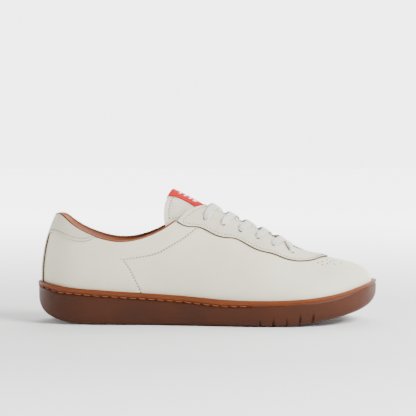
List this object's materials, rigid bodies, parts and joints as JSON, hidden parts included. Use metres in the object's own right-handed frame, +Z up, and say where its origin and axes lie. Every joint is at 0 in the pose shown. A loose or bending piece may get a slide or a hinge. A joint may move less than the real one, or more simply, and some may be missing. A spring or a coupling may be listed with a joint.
{
  "type": "court shoe",
  "caption": "Low leather court shoe for the right foot with a stitched gum rubber cup sole, padded collar and tongue, and flat laces.",
  "frame": {"origin": "on the ground, under the middle of the shoe's bounding box", "axes": "+X to the toe, +Y to the inner (medial) side, +Z up"},
  "size_m": [0.3, 0.1063, 0.1162],
  "materials": {
    "gum_rubber": "satin",
    "sole_thread": "matt",
    "midsole_eva": "matt",
    "fibreboard": "matt",
    "sock_foam": "matt",
    "sock_textile": "matt",
    "white_leather": "satin, fine pebble grain",
    "backing_textile": "matt",
    "stiffener": "matt",
    "lining_textile": "matt",
    "tan_leather": "satin",
    "collar_foam": "matt",
    "tongue_textile": "matt",
    "red_woven_label": "matt woven",
    "lace_cotton": "matt woven",
    "lace_tip_plastic": "satin"
  },
  "bodies": {
    "shoe": {"cupsole": "gum_rubber", "sidewall_stitching": "sole_thread", "midsole_foam": "midsole_eva", "insole_board": "fibreboard", "vamp": "white_leather", "quarter_lateral": "white_leather", "quarter_medial": "white_leather", "heel_backstay": "white_leather", "eyestay": "white_leather", "eyestay_backing": "backing_textile", "toe_puff": "stiffener", "heel_counter": "stiffener", "vamp_lining": "lining_textile", "collar_lining": "tan_leather", "collar_foam": "collar_foam", "collar_piping": "tan_leather", "shoelace": "lace_cotton", "lace_tips": "lace_tip_plastic"},
    "tongue": {"tongue_cover": "tongue_textile", "tongue_foam": "collar_foam", "tongue_lining": "lining_textile", "tongue_label": "red_woven_label"},
    "sock_liner": {"sock_liner_foam": "sock_foam", "sock_liner_cover": "sock_textile"}
  },
  "joints": [
    {"name": "tongue_bend", "type": "hinge", "parent": "shoe", "child": "tongue", "pos_m": [0.086, 0.0029, 0.0535], "axis": [0, -1, 0], "range_deg": [0, 10], "stiffness_Nm_per_rad": 0.2, "springref_deg": -11.46},
    {"name": "sock_liner_lift", "type": "hinge", "parent": "shoe", "child": "sock_liner", "pos_m": [0.141, 0.0085, 0.0235], "axis": [0, 1, 0], "range_deg": [0, 5]}
  ]
}
